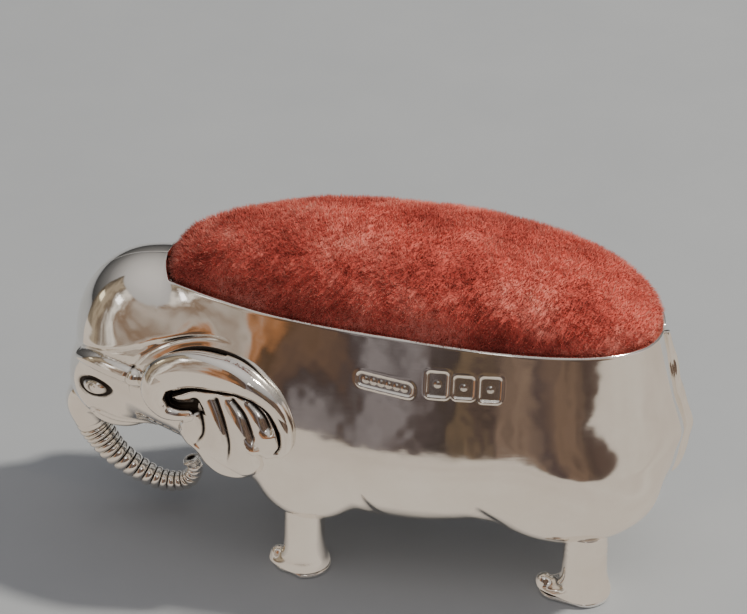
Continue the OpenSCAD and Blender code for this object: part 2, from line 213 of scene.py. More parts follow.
BARREL_X, BARREL_A, BARREL_B = 3.4, 20.9, 11.1
WIDEST_Z, BELLY, BELLY_TAPER = 12.4, 8.9, 0.62
SIDE_LEAN, END_LEAN, WALL_EASE, EGG = 0.315, 0.24, 1.6, 0.06
PLAN_POWER, OVAL_POWER = 2.3, 2.2
SHEET = 0.5
SPINE_Z, SPINE_FRONT, SPINE_REAR = 13.3, -17.0, 14.0
RIM_FRONT_Z, RIM_REAR_Z, RIM_ARCH = 22.7, 20.8, 0.9
OPENING_A, OPENING_B = 19.6, 10.2

# Rounded forms that the barrel runs into: middle, half length, half width, depth below the middle,
# height above it, width of the blend. Each stands on both sides.
FORMS = dict(
    shoulders=((-6.0, 0.0, 13.6), 9.4, 10.0, 8.2, 9.6, 2.6),
    neck=((-13.2, 0.0, 15.2), 8.4, 7.6, 6.8, 8.2, 2.6),
    forehead=((-17.5, 0.0, 16.2), 6.2, 5.9, 6.4, 7.1, 2.2),
    face=((-19.9, 0.0, 12.2), 4.6, 4.6, 4.2, 4.6, 1.6),
    front_thigh=((-3.5, 6.6, 10.2), 5.1, 4.1, 5.2, 6.5, 0.8),
    rear_thigh=((15.8, 5.2, 9.6), 7.4, 4.8, 5.1, 4.4, 2.4),
    rump=((14.9, 0.0, 11.4), 9.6, 9.6, 8.2, 6.0, 2.0),
)


def level_distance(level, *slopes):
    """Rough distance to the surface where level is 1, from how fast it changes along each axis"""
    return level * (level - 1) / np.maximum(np.sqrt(sum(slope ** 2 for slope in slopes)), 1e-9)


def ellipsoid(x, y, z, a, b, c):
    level = np.sqrt((x / a) ** 2 + (y / b) ** 2 + (z / c) ** 2)
    return level_distance(level, x / a ** 2, y / b ** 2, z / c ** 2)


def barrel(x, y, z):
    up = np.maximum(z - WIDEST_Z, 0)
    rise = np.sqrt(up * up + WALL_EASE ** 2) - WALL_EASE
    low = np.clip((WIDEST_Z - z) / BELLY, 0, 1)
    a = (BARREL_A - END_LEAN * rise) * (1 - BELLY_TAPER * low ** 1.5)
    b = np.maximum(BARREL_B - SIDE_LEAN * rise, 0.5)
    b = b * (1 + EGG * np.clip((x - BARREL_X) / a, -1.3, 1.3))
    u, v, w = np.abs(x - BARREL_X) / a, y / b, np.minimum(z - WIDEST_Z, 0) / BELLY
    plan = (u ** PLAN_POWER + v ** PLAN_POWER) ** (1 / PLAN_POWER)
    return level_distance(np.sqrt(plan ** 2 + w ** 2), u / a, v / b, w / BELLY)


def body_at(p):
    """Distance to the body's surface, negative inside"""
    x, y, z = p[..., 0], np.abs(p[..., 1]), p[..., 2]
    d = barrel(x, y, z)
    for (cx, cy, cz), a, b, low, high, blend in FORMS.values():
        c = low + (high - low) * smooth((z - cz) / 5.0 + 0.5)
        d = soft_min(d, ellipsoid(x - cx, y - cy, z - cz, a, b, c), blend)
    return d


def outward(p, step=0.05):
    n = np.stack([body_at(p + step * axis) - body_at(p - step * axis) for axis in np.eye(3)], -1)
    return unit(n)


def halved(low, high, steps, below):
    """The two ends round the place where below turns from true to false, by halving"""
    for _ in range(steps):
        middle = (low + high) / 2
        yes = below(middle)
        low, high = np.where(yes, middle, low), np.where(yes, high, middle)
    return low, high


def reach(start, way, far=34.0, steps=26):
    """Distance from inside the body to its surface along each ray"""
    nowhere = np.zeros(start.shape[:-1])
    low, high = halved(nowhere, nowhere + far, steps, lambda d: body_at(start + way * d[..., None]) < 0)
    return (low + high) / 2


def rim_z(x):
    t = (x - BARREL_X + OPENING_A) / (2 * OPENING_A)
    return RIM_FRONT_Z + (RIM_REAR_Z - RIM_FRONT_Z) * t + 4 * RIM_ARCH * t * (1 - t)


def opened(p):
    """Positive where the back is cut open"""
    x, y = (p[..., 0] - BARREL_X) / OPENING_A, p[..., 1] / OPENING_B
    oval = (np.abs(x) ** OVAL_POWER + np.abs(y) ** OVAL_POWER) ** (1 / OVAL_POWER)
    return np.minimum(p[..., 2] - rim_z(p[..., 0]), (1 - oval) * OPENING_B)


def skin_y(x, z):
    """How far the body's side stands from the middle plane at a place in the side view"""
    start = xyz(x, 0.0, z)
    return reach(start, np.broadcast_to([0.0, -1.0, 0.0], start.shape))


# -------- relief on the head and flanks
# Places are x and z in the side view, in millimetres. Depths are along the surface's normal.

EYE = (-21.5, 13.1)
EYE_A, EYE_B, EYE_TILT, PUPIL_R = 1.35, 0.72, 0.22, 0.36
BROW = [(-22.6, 15.4), (-21.2, 15.9), (-19.4, 16.0), (-17.7, 15.9)]
BROW_PITS = ((-22.9, 15.45), (-22.9, 14.75))
HEAD_LINE = [(-23.3, 15.9), (-21.9, 16.7), (-20.2, 17.3), (-18.3, 18.0), (-15.9, 19.1), (-13.3, 19.9),
             (-11.2, 20.2)]
COLLAR_LINE = [(-17.9, 13.4), (-18.2, 15.0), (-17.7, 16.9), (-16.2, 18.5), (-14.0, 19.7), (-11.4, 20.3),
               (-9.6, 20.3)]
MOUTH = [(-21.6, 10.6), (-20.1, 9.7), (-18.6, 9.35), (-16.6, 9.3)]
THIGH_FRONT = [(0.5, 14.0), (0.3, 11.5), (0.6, 9.5), (1.2, 7.8), (1.8, 6.4)]
THIGH_REAR = [(9.3, 11.2), (9.6, 9.4), (10.2, 8.0), (11.2, 6.6)]
# The head's relief lies in front of this, the flank's behind it
NECK_X = -8.0
# Middle, half width and half height of each punched field
CARTOUCHE = (2.5, 19.35, 2.15, 0.48)
CARTOUCHE_TILT = -0.12
PUNCHES = [(6.5, 19.75, 0.80, 0.92), (8.5, 19.65, 0.76, 0.80), (10.5, 19.6, 0.78, 0.88)]


def bell(d, width):
    """1 where d is 0, and falling away softly over a width on either side"""
    return np.exp(-(d / width) ** 2)


def rounded_box(q, middle, a, b, corner):
    d = np.abs(q - np.array(middle)) - (np.array([a, b]) - corner)
    return np.linalg.norm(np.maximum(d, 0), axis=1) + np.minimum(d.max(1), 0) - corner


def punched(q, middle, a, b, corner, pellets):
    """Height and darkness of one plain punched field with round pellets in it"""
    d = rounded_box(q, middle, a, b, corner)
    sunk = smooth(0.5 - d / 0.12)
    height = -0.09 * sunk + 0.035 * bell(d - 0.1, 0.11)
    for x in pellets:
        r = np.linalg.norm(q - (np.array(middle) + np.array([x, 0.0])), axis=1)
        height += 0.08 * smooth(1.3 - r / 0.24)
    return height, 0.38 * sunk


def head_relief(q, height, dark):
    x, z = q[:, 0] - EYE[0], q[:, 1] - EYE[1]
    c, s = math.cos(EYE_TILT), math.sin(EYE_TILT)
    u, v = (x * c + z * s) / EYE_A, (z * c - x * s) / EYE_B
    oval = np.sqrt(u * u + v * v)
    ring = bell((oval - 1.0) * 0.8, 0.21)
    pupil = np.sqrt(x * x + z * z) - PUPIL_R
    height += -0.20 * ring + 0.24 * smooth(1.25 - oval) - 0.09 * bell(pupil, 0.11)
    dark += 1.1 * ring + 0.9 * bell(pupil, 0.13) * smooth(0.4 - x)
    d, t = to_curve(q, BROW)
    lens = 0.85 * (1 - 0.35 * np.clip(1 - t * 2.5, 0, 1))
    height += 0.62 * np.clip(1 - (d / lens) ** 2, 0, 1) - 0.08 * bell(d - lens, 0.2)
    dark += 0.55 * bell(d - lens, 0.14) * smooth(t * 3)
    for spot in BROW_PITS:
        pit = bell(np.linalg.norm(q - np.array(spot), axis=1), 0.16)
        height -= 0.10 * pit
        dark += 1.0 * pit
    d, t = to_curve(q, HEAD_LINE)
    fade = smooth(t * 6) * smooth((1 - t) * 4)
    above = smooth(0.5 + (q[:, 1] - np.interp(q[:, 0], *zip(*HEAD_LINE))) / 0.5)
    height += (0.16 * above * bell(d, 0.9) - 0.10 * bell(d, 0.16)) * fade
    dark += 0.30 * bell(d, 0.14) * fade
    d, t = to_curve(q, COLLAR_LINE)
    fade = smooth(t * 5) * smooth((1 - t) * 5)
    height -= 0.10 * bell(d, 0.14) * fade
    dark += 0.50 * bell(d, 0.10) * fade
    d, t = to_curve(q, MOUTH)
    gape = 0.42 * np.sqrt(np.clip(np.sin(np.pi * t), 0, 1)) + 0.05
    height += -0.42 * smooth(1.0 - d / gape) + 0.20 * bell(d - gape - 0.16, 0.2)
    dark += 0.9 * smooth(1.1 - d / gape) + 0.4 * bell(d - gape - 0.42, 0.12)


def flank_relief(q, height, dark):
    for line, fall, late in ((THIGH_FRONT, 1.4, 1.2), (THIGH_REAR, 1.6, 1.1)):
        d, t = to_curve(q, line)
        height -= 0.22 * bell(d, 0.5) * smooth(t * fall)
        dark += 0.22 * bell(d, 0.09) * smooth(t * 2.2 - late)


def mark_relief(q, height, dark):
    near = (q[:, 0] > -1) & (q[:, 0] < 12.5) & (q[:, 1] > 18) & (q[:, 1] < 21.5)
    p = q[near]
    x, z, a, b = CARTOUCHE
    level = p + np.array([0.0, 1.0]) * ((p[:, :1] - x) * -CARTOUCHE_TILT)
    h, s = punched(level, (x, z), a, b, 0.4, (-1.5, -0.9, -0.3, 0.3, 0.9, 1.5))
    for x, z, a, b in PUNCHES:
        hp, sp = punched(p, (x, z), a, b, 0.25, (0.0,))
        h, s = h + hp, s + sp
    height[near] += h
    dark[near] += s


def body_relief(p, marks):
    """How far the surface stands out, and how dark it is, at points on one side: tarnished in its engraved
    lines and marks, and painted shade round and under the ears
    """
    q = p[:, [0, 2]]
    height, dark = np.zeros(len(p)), np.zeros(len(p))
    side = smooth((np.abs(p[:, 1]) - 1.6) / 1.2)
    head = q[:, 0] < NECK_X
    for part, relief in ((head, head_relief), (~head, flank_relief)):
        h, s = np.zeros(part.sum()), np.zeros(part.sum())
        relief(q[part], h, s)
        height[part] += h
        dark[part] += s
    if marks:
        mark_relief(q, height, dark)
    # Painted shade: a dark line round the ear's foot, and the head darker where the ear covers it
    around = (q[:, 0] < -2) & (q[:, 0] > -20)
    outline = ear_foot(closed_curve(EAR_OUTLINE, 6))
    d, _ = to_line(q[around], outline, closed=True)
    covered = inside(q[around], outline)
    dark[around] += 1.1 * smooth(1.25 - d / 0.30) + 0.5 * covered
    height[around] -= 0.12 * smooth(1.0 - d / 0.5)
    height += 0.012 * lattice_noise(p, 0.45, 3) + 0.006 * lattice_noise(p, 1.3, 5)
    return height * side, np.clip(dark * side, 0, 1)


# -------- half shells

def stretches(*parts):
    """Values over several stretches, each with its own number of steps"""
    values = [np.linspace(a, b, n, endpoint=False) for a, b, n in parts]
    return np.concatenate(values + [[parts[-1][1]]])


def shell_rays():
    fan = np.linspace(90, 0, 110, endpoint=False)
    along = stretches((SPINE_FRONT, -13.0, 36), (-13.0, -3.0, 60), (-3.0, 12.0, 150), (12.0, SPINE_REAR, 10))
    rear = stretches((0, -38, 26), (-38, -52, 20), (-52, -90, 18))[1:]
    x = np.concatenate([np.full(len(fan), SPINE_FRONT), along, np.full(len(rear), SPINE_REAR)])
    turn = np.radians(np.concatenate([fan, np.zeros(len(along)), rear]))
    return x, turn


def ray_ways(turn, angle):
    return xyz(-np.sin(turn), -np.cos(turn) * np.cos(angle), np.cos(turn) * np.sin(angle))


def top_angles(x, turn):
    """The highest angle that each row of the shell reaches, and whether it meets the other half there"""
    start = xyz(x, 0.0, SPINE_Z)

    def is_shut(angle):
        way = ray_ways(turn, angle)
        return ~(opened(start + way * reach(start, way)[..., None]) > 0)
    upright = np.full(len(x), math.pi / 2)
    shut = is_shut(upright)
    low, _ = halved(0 * upright, upright, 18, is_shut)
    return np.where(shut, math.pi / 2, low), shut


# Share of a row's points in its even stretch, and the angle from that stretch's end to the rim
EVEN_SHARE, EVEN_BELOW = 0.8, 0.42


def column_angles(top, share):
    """Angles of one row's points: an even stretch below, then a stretch that ends at the rim"""
    near = np.array([top[max(i - 10, 0):i + 11].min() for i in range(len(top))])
    kernel = np.exp(-(np.arange(-12, 13) / 5.0) ** 2)
    even = np.convolve(np.pad(near, 12, mode="edge"), kernel / kernel.sum(), "valid")
    even = np.minimum(even, top) - EVEN_BELOW
    below = np.clip(share / EVEN_SHARE, 0, 1)
    above = np.clip((share - EVEN_SHARE) / (1 - EVEN_SHARE), 0, 1)
    return (-math.pi / 2 + (even[:, None] + math.pi / 2) * below
            + (top - even)[:, None] * above)


# The inner skin keeps one point in so many of the outer skin's
INNER_EVERY = 6
LIP_STEPS = 5


def every(count, step):
    """Each step'th index, and always the last one"""
    picked = list(range(0, count, step))
    return picked if picked[-1] == count - 1 else picked + [count - 1]


def half_shell(name, marks):
    x, turn = shell_rays()
    top, shut = top_angles(x, turn)
    share = stretches((0, 0.30, 46), (0.30, 0.80, 108), (0.80, 1.0, 62))
    angle = column_angles(top, share)
    way = ray_ways(turn[:, None], angle)
    start = np.broadcast_to(xyz(x, 0.0, SPINE_Z)[:, None], way.shape)
    skin = start + way * reach(start, way)[..., None]
    rows, columns = skin.shape[:2]
    flat_skin = skin.reshape(-1, 3)
    height, dark = (v.reshape(rows, columns) for v in body_relief(flat_skin, marks))
    height[0], height[-1] = height[0].mean(), height[-1].mean()
    normal = outward(flat_skin).reshape(rows, columns, 3)
    normal[:, 0, 1] = 0
    normal[shut, -1, 1] = 0
    outer = skin + normal * height[..., None]
    inner = skin - normal * SHEET
    # The edge of the opening is rolled over; along the middle plane the two halves meet flat
    up = unit(skin[:, -1] - skin[:, -2])
    roll = np.where(shut, 0.0, 1.0)[:, None]
    points = [outer.reshape(-1, 3)]
    for k in range(1, LIP_STEPS):
        phi = math.pi * k / LIP_STEPS
        across = (outer[:, -1] + inner[:, -1]) / 2 + (outer[:, -1] - inner[:, -1]) / 2 * math.cos(phi)
        points.append(across + up * roll * SHEET * 0.5 * math.sin(phi))
    coarse, coarse_columns = every(rows, INNER_EVERY), every(columns, INNER_EVERY)
    points += [inner[:, -1], inner[np.ix_(coarse, coarse_columns)].reshape(-1, 3)]
    faces = grid_faces(rows, columns)
    edge = [np.arange(rows) * columns + columns - 1]
    edge += [rows * (columns + k) + np.arange(rows) for k in range(LIP_STEPS)]
    flat = []
    for a, b in zip(edge[:-1], edge[1:]):
        for i in range(rows - 1):
            if shut[i] and shut[i + 1]:
                flat.append(len(faces))
            faces.append([a[i], b[i], b[i + 1], a[i + 1]])
    inner_start, across = rows * (columns + LIP_STEPS), len(coarse_columns)
    faces += grid_faces(len(coarse), across, start=inner_start, turn=True)

    def stitch(fine, rough, turn_over):
        """Faces between an edge of the outer skin and the inner skin's coarser edge"""
        for i, (a, b) in enumerate(zip(coarse[:-1], coarse[1:])):
            ca, cb, half = rough[i], rough[i + 1], (a + b) // 2
            new = [[fine[r], fine[r + 1], ca if r < half else cb] for r in range(a, b)]
            new.append([fine[half], cb, ca])
            flat.extend(range(len(faces), len(faces) + len(new)))
            faces.extend(face[::-1] if turn_over else face for face in new)
    rough = inner_start + np.arange(len(coarse)) * across
    stitch(np.arange(rows) * columns, rough, False)
    stitch(edge[-1], rough + across - 1, True)
    points = np.concatenate(points)
    layer = np.zeros(len(points))
    layer[:rows * columns] = dark.reshape(-1)
    return weld(make_mesh(name, points, faces, flat, dark=layer))


# -------- ears

EAR_MIDDLE = np.array([-11.2, 14.9])
EAR_OUTLINE = [(-13.9, 13.5), (-15.0, 13.4), (-16.3, 13.7), (-17.05, 14.7), (-17.1, 16.2), (-16.3, 17.8),
               (-14.7, 19.1), (-12.8, 19.8), (-10.6, 20.0), (-8.5, 19.8), (-6.8, 18.9), (-5.3, 17.5),
               (-4.4, 15.8), (-4.2, 14.3), (-4.7, 13.1), (-5.6, 12.5), (-6.4, 12.2), (-6.95, 12.4),
               (-6.8, 11.3), (-7.5, 10.0), (-8.9, 9.1), (-10.6, 9.0), (-11.9, 9.7), (-12.7, 10.7),
               (-13.5, 11.2), (-14.0, 12.0), (-14.0, 12.8)]
# The rolled edge, from its inner hook round over the top to the lower tip: x, z, radius
EAR_ROLL = [(-12.9, 14.3, 0.40), (-13.9, 14.0, 0.62), (-15.1, 14.2, 0.92), (-15.85, 15.4, 1.15),
            (-15.45, 16.8, 1.3), (-14.2, 17.7, 1.5), (-12.7, 18.3, 1.55), (-10.7, 18.55, 1.5),
            (-8.7, 18.5, 1.25), (-7.1, 17.9, 0.95), (-5.8, 16.9, 0.72), (-4.95, 15.3, 0.6),
            (-4.85, 13.9, 0.5), (-5.3, 13.2, 0.4)]
FURROWS = [[(-12.3, 15.6), (-11.8, 14.2), (-11.8, 12.8), (-12.7, 11.3)],
           [(-10.6, 16.2), (-9.9, 14.6), (-9.5, 12.8), (-9.8, 10.6)],
           [(-9.2, 16.6), (-8.3, 15.8), (-7.7, 14.6), (-7.3, 13.1)],
           [(-7.7, 16.9), (-6.6, 16.0), (-6.0, 14.6)]]
EAR_AROUND, EAR_RINGS = 420, 150
# The ear stands off the head at least as far as a plane: x, distance from the middle, slope
EAR_PLANE = (-17.5, 6.5, 0.28)
# How far its foot is drawn in, how deep it runs into the head, how much painted shade each ring of its wall
# has, and the rings that close its back, as shares of the foot's size
EAR_FOOT, EAR_SUNK = 0.85, 0.2
EAR_WALL_SHADE = (0.0, 0.15, 0.75, 1.0, 1.0)
EAR_BACK = (0.75, 0.5, 0.25, 0.0)


def ear_foot(line):
    """The line where an ear meets the head, drawn in under its rolled edge"""
    return EAR_MIDDLE + (line - EAR_MIDDLE) * EAR_FOOT


def ear_height(q):
    """Height of the ear above its base, and its painted shade: in the furrows, in the pocket under the rolled
    edge and along that edge
    """
    outline = closed_curve(EAR_OUTLINE, 6)
    edge, _ = to_line(q, outline, closed=True)
    height = 0.80 * np.sqrt(smooth(edge / 0.8))
    dark = np.zeros(len(q))
    # Painted shade down each furrow
    for line in FURROWS:
        d, t = to_curve(q, line, 6)
        fade = smooth((1 - t) * 4)
        height -= 0.60 * np.exp(-d / 0.46) * fade
        dark += 0.85 * bell(d, 0.08 + 0.22 * (1 - t)) * fade
    roll = open_curve(EAR_ROLL, 8)
    d, t = to_line(q, roll[:, :2])
    r = np.interp(t, np.linspace(0, 1, len(roll)), roll[:, 2])
    within = inside(q, np.concatenate([roll[:, :2], EAR_MIDDLE[None]]))
    gape = (0.25 + 0.95 * smooth(1.1 - t / 0.42)) * smooth((1 - t) * 5)
    # Painted shade in the deep pocket under the rolled edge
    pocket = smooth(1.15 - (d - r) / np.maximum(gape, 0.05)) * within
    height -= 0.55 * pocket
    dark += 1.0 * pocket
    bulge = np.sqrt(np.clip(1 - (d / r) ** 2, 0, 1)) * np.minimum(r * 1.1, 1.25)
    # A thin line of painted shade along the rolled edge
    dark += 0.35 * bell(d - r, 0.10)
    height = np.where(d < r, np.maximum(height, 0.25 + bulge), height)
    dark = np.where(d < r * 0.95, dark * smooth((d / r - 0.80) / 0.15), dark)
    return height, np.clip(dark, 0, 1)


def ear(name):
    line = closed_curve(EAR_OUTLINE, 30) - EAR_MIDDLE
    angle = np.arctan2(line[:, 1], line[:, 0])
    order = np.argsort(angle)
    spread = np.linspace(-math.pi, math.pi, EAR_AROUND, endpoint=False)
    far = np.interp(spread, angle[order], np.linalg.norm(line, axis=1)[order], period=2 * math.pi)
    share = np.linspace(0, 1, EAR_RINGS) ** 0.8
    way = np.stack([np.cos(spread), np.sin(spread)], -1)
    q = EAR_MIDDLE + share[:, None, None] * (far[:, None] * way)[None]
    flat_q = q.reshape(-1, 2)
    height, dark = ear_height(flat_q)
    x0, y0, slope = EAR_PLANE
    y = np.maximum(skin_y(*flat_q.T), y0 + slope * (flat_q[:, 0] - x0)) + (height + 0.05)
    layers = [xyz(flat_q[:, 0], -y, flat_q[:, 1])]
    ring, foot = q[-1], ear_foot(q[-1])
    outer_y, foot_y = y[-EAR_AROUND:], skin_y(*foot.T) - EAR_SUNK
    steps = len(EAR_WALL_SHADE)
    for s in np.arange(1, steps + 1) / steps:
        across = ring + (foot - ring) * s * s
        layers.append(xyz(across[:, 0], -(outer_y + (foot_y - outer_y) * s), across[:, 1]))
    for s in EAR_BACK:
        flat = EAR_MIDDLE + (foot - EAR_MIDDLE) * s
        layers.append(xyz(flat[:, 0], -(skin_y(*flat.T) - EAR_SUNK), flat[:, 1]))
    rows = EAR_RINGS + steps + len(EAR_BACK)
    # The wall and the back under the ear are painted dark as shade
    hidden = np.repeat([*EAR_WALL_SHADE, *np.ones(len(EAR_BACK))], EAR_AROUND)
    return weld(make_mesh(name, np.concatenate(layers), grid_faces(rows, EAR_AROUND, wrap=True),
                          dark=np.concatenate([dark, hidden])))


# -------- trunk and tail

# Middle line of the trunk from inside the face to the tip: x, z, radius
TRUNK_LINE = [(-21.9, 10.7, 1.7), (-22.6, 9.9, 1.95), (-23.35, 8.8, 1.72), (-22.95, 6.9, 1.36),
              (-22.35, 5.8, 1.24), (-21.3, 4.3, 1.1), (-19.35, 2.7, 0.95), (-17.25, 1.8, 0.83),
              (-15.4, 2.05, 0.73), (-14.65, 3.2, 0.65), (-14.95, 4.2, 0.58)]
TRUNK_RINGS, TRUNK_AROUND = 32, 72
# The middle of the curl: painted shade makes the rings darkest on the side that faces it
TRUNK_CURL = np.array([-18.6, 0.0, 6.8])
# Rings inside the nostril: share of the tip's radius, and distance past the tip
TRUNK_BORE = ((0.86, 0.10), (0.62, 0.10), (0.45, -0.05), (0.40, -0.5))


def tube_points(path, radii, around, lobes=1.0):
    """Rings of points round a path that lies close to the middle plane"""
    along = unit(np.gradient(path, axis=0))
    u = unit(np.cross(along, np.array([0.0, 1.0, 0.0])))
    v = np.cross(along, u)
    phi = round_angles(around)
    r = radii[:, None] * (lobes * np.ones((len(path), around)))
    return path[:, None, :] + r[..., None] * (np.cos(phi)[None, :, None] * u[:, None, :]
                                              + np.sin(phi)[None, :, None] * v[:, None, :])


def round_angles(count):
    return np.linspace(0, 2 * math.pi, count, endpoint=False)


def closed_tube(name, rings, dark):
    """A closed mesh from rings of points, with a point at each end"""
    n, around = rings.shape[:2]
    points = np.concatenate([rings.reshape(-1, 3), rings[:1].mean(1), rings[-1:].mean(1)])
    faces = grid_faces(n, around, wrap=True)
    first, last = n * around, n * around + 1
    faces += [[first, (k + 1) % around, k] for k in range(around)]
    faces += [[last, (n - 1) * around + k, (n - 1) * around + (k + 1) % around] for k in range(around)]
    return make_mesh(name, points, faces, dark=[*dark.reshape(-1), dark[0].mean(), dark[-1].mean()])


def trunk(name):
    line = open_curve(TRUNK_LINE, 80)
    path = xyz(line[:, 0], 0.0, line[:, 1])
    s = np.linspace(0, 1, len(line))
    wave = np.abs(np.sin(math.pi * TRUNK_RINGS * s))
    strength = smooth((s - 0.26) / 0.08) * (1 - 0.75 * smooth((s - 0.78) / 0.14))
    radii = line[:, 2] + strength * (0.20 * np.sqrt(wave) - 0.13)
    radii = radii + 0.17 * bell(s - 0.985, 0.018)
    rings = tube_points(path, radii, TRUNK_AROUND)
    # Tarnish in the grooves between the rings, with painted shade deepest on the side that faces the curl
    inward = ((rings - path[:, None]) * unit(TRUNK_CURL - path)[:, None]).sum(-1) / radii[:, None]
    dark = (strength * bell(wave, 0.34))[:, None] * (0.45 + 0.75 * smooth(0.5 + inward))
    dark = np.clip(dark + 0.5 * bell(s - 0.955, 0.01)[:, None], 0, 1)
    # The nostril: the last ring turns in and runs back inside the tip, painted dark inside as shade
    end = path[-1]
    way = unit(path[-1] - path[-4])
    bore = [end + (rings[-1] - end) * k + way * t for k, t in TRUNK_BORE]
    dark = np.concatenate([dark, np.array([0.1, 0.5, 1.0, 1.0])[:, None] * np.ones((1, TRUNK_AROUND))])
    return closed_tube(name, np.concatenate([rings, np.array(bore)]), dark)


# Heights of chosen points down the tail, from its root to its tip
TAIL_HEIGHTS = (20.5, 18.8, 17.0, 15.2, 13.4, 11.8, 10.2, 8.8, 7.9)
TAIL_R, TAIL_AROUND, TAIL_TURNS = 0.44, 40, 2.6


def tail(name):
    z = open_curve([(h,) for h in TAIL_HEIGHTS], 24)[:, 0]
    start = xyz(SPINE_REAR, 0.0, z)
    x = SPINE_REAR + reach(start, np.broadcast_to([1.0, 0, 0], start.shape)) + 0.08
    s = np.linspace(0, 1, len(z))
    path = xyz(x, 0.22 * np.sin(z * 0.7) * smooth(s * 4), z)
    radii = TAIL_R * (0.30 + 0.70 * np.sqrt(np.clip(np.sin(np.pi * np.clip(s * 0.96 + 0.02, 0, 1)), 0, 1)))
    radii = radii * (1 + 0.25 * bell(s - 0.9, 0.07))
    loose = (0.35 + 0.65 * smooth((0.5 - s) / 0.2))[:, None]
    strands = np.cos(2 * (round_angles(TAIL_AROUND)[None, :] - (2 * math.pi * TAIL_TURNS * s)[:, None]))
    rings = tube_points(path, radii, TAIL_AROUND, 1 + 0.09 * loose * strands)
    return closed_tube(name, rings, 0.9 * loose * smooth(-0.72 - strands))


# -------- legs and soles

LEG_Y = 6.9
# x, radius, top, toe length, heights of the faint rings round it
LEGS = dict(front=(-4.3, 1.62, 6.0, 0.95, ()), rear=(17.9, 1.76, 6.2, 2.0, (4.5, 5.0)))
LEG_STEP = 0.085
SOLE, HEEL_R, TOE_R, KNOB_R = 0.4, 2.05, 1.5, 0.60
# Height, inset and darkness of each ring of a sole
SOLE_LEVELS = ((0.0, 0.14, 0.2), (0.04, 0.06, 0.1), (0.12, 0.0, 0.0), (0.28, 0.0, 0.0),
               (0.36, 0.05, 0.4), (SOLE, 0.14, 0.9))


def surface_net(distance, low, high, step):
    """Points and quads of the surface where a distance function is zero"""
    axes = [np.arange(a, b + step, step) for a, b in zip(low, high)]
    grid = np.stack(np.meshgrid(*axes, indexing="ij"), -1)
    d = distance(grid)
    within = d < 0
    total = np.zeros(np.array(d.shape) - 1)
    sums = np.zeros(total.shape + (3,))
    ends = slice(0, -1), slice(1, None)
    for axis in range(3):
        for sides in product(ends, repeat=2):
            first, second = ((*sides[:axis], end, *sides[axis:]) for end in ends)
            a, b = d[first], d[second]
            crosses = (a < 0) != (b < 0)
            t = np.where(crosses, a / np.where(crosses, a - b, 1), 0)
            place = grid[first] + (grid[second] - grid[first]) * t[..., None]
            total += crosses
            sums += place * crosses[..., None]
    used = total > 0
    number = np.full(total.shape, -1)
    number[used] = np.arange(used.sum())
    points = sums[used] / total[used][:, None]
    quads, one = [], np.eye(3, dtype=int)
    for axis in range(3):
        u, v = (axis + 1) % 3, (axis + 2) % 3
        sides = [slice(1, -1)] * 2
        a, b = (within[(*sides[:axis], end, *sides[axis:])] for end in ends)
        where = np.argwhere(a != b)
        leaving = a[tuple(where.T)]
        base = where + 1
        base[:, axis] -= 1
        ring = np.stack([number[tuple((base - i * one[u] - j * one[v]).T)]
                         for i, j in ((0, 0), (1, 0), (1, 1), (0, 1))], -1)
        quads.append(np.where(leaving[:, None], ring, ring[:, ::-1]))
    return points, np.concatenate(quads)[:, ::-1]


def capsule(p, a, b, ra, rb):
    a, b = np.array(a, float), np.array(b, float)
    way = b - a
    t = np.clip(((p - a) @ way) / (way @ way), 0, 1)
    return np.linalg.norm(p - a - t[..., None] * way, axis=-1) - (ra + (rb - ra) * t)


def from_knob(p, toe):
    """Distance from the middle of the knob that the toe curls into"""
    return np.linalg.norm(p - np.array([-toe - 1.15, 0, 0.95]), axis=-1)


def leg_distance(p, r, top, toe, rings):
    """A round leg that flares into a slipper whose toe curls up into a knob"""
    x, y, z = p[..., 0], p[..., 1], p[..., 2]
    flare = 0.34 * bell(z - 0.5, 1.0)
    for ring_z in rings:
        flare = flare + 0.035 * bell(z - ring_z, 0.13)
    column = np.maximum(np.hypot(x, y) - (r + flare), z - top)
    shoe = ellipsoid(x + toe * 0.7, y, z - 0.45, HEEL_R + 0.1, TOE_R - 0.1, 0.62)
    knob = from_knob(p, toe) - KNOB_R
    neck = capsule(p, (-toe, 0, 0.55), (-toe - 1.1, 0, 0.7), 0.6, 0.5)
    whole = soft_min(soft_min(column, shoe, 1.1), soft_min(neck, knob, 0.5), 0.5)
    return np.maximum(whole, SOLE - 0.02 - z)


def leg(name, x, side, r, top, toe, rings):
    low, high = (-toe - 2.3, -2.6, 0.1), (2.6, 2.6, top + 0.4)
    points, quads = surface_net(lambda p: leg_distance(p, r, top, toe, rings), low, high, LEG_STEP)
    crease = bell(from_knob(points, toe) - KNOB_R - 0.08, 0.10)
    dark = 0.15 * crease * smooth((points[:, 0] + toe + 0.9) / 0.3)
    points = points * np.array([1.0, side, 1.0]) + np.array([x, side * LEG_Y, 0.0])
    faces = (quads if side > 0 else quads[:, ::-1]).tolist()
    return make_mesh(name, points, faces, dark=dark)


def sole_outline(toe, inset, half=48):
    """Heel circle and toe circle joined by straight sides"""
    quarter = math.pi / 2
    outline = []
    for r, x, a, b in ((HEEL_R, 0, -quarter, quarter), (TOE_R, -toe, quarter, 3 * quarter)):
        turn = np.linspace(a, b, half)
        outline.append((r - inset) * np.stack([np.cos(turn), np.sin(turn)], -1) + np.array([x, 0.0]))
    return np.concatenate(outline)


def sole(name, x, side, toe):
    rings = []
    for z, inset, _ in SOLE_LEVELS:
        flat = sole_outline(toe, inset)
        rings.append(xyz(flat[:, 0] + x, flat[:, 1] + side * LEG_Y, z))
    rings = np.array(rings)
    dark = np.array([level[2] for level in SOLE_LEVELS])[:, None] * np.ones((1, rings.shape[1]))
    return closed_tube(name, rings, dark)


# -------- velvet cushion

PAD_GAP = 0.12
OVERHANG, FRONT_SWELL = 0.38, 0.15
CROWN_Z = 27.9
DOME_DROP, DOME_POWER = 0.6, 2.2
PAD_AROUND, PAD_RINGS = 128, 34
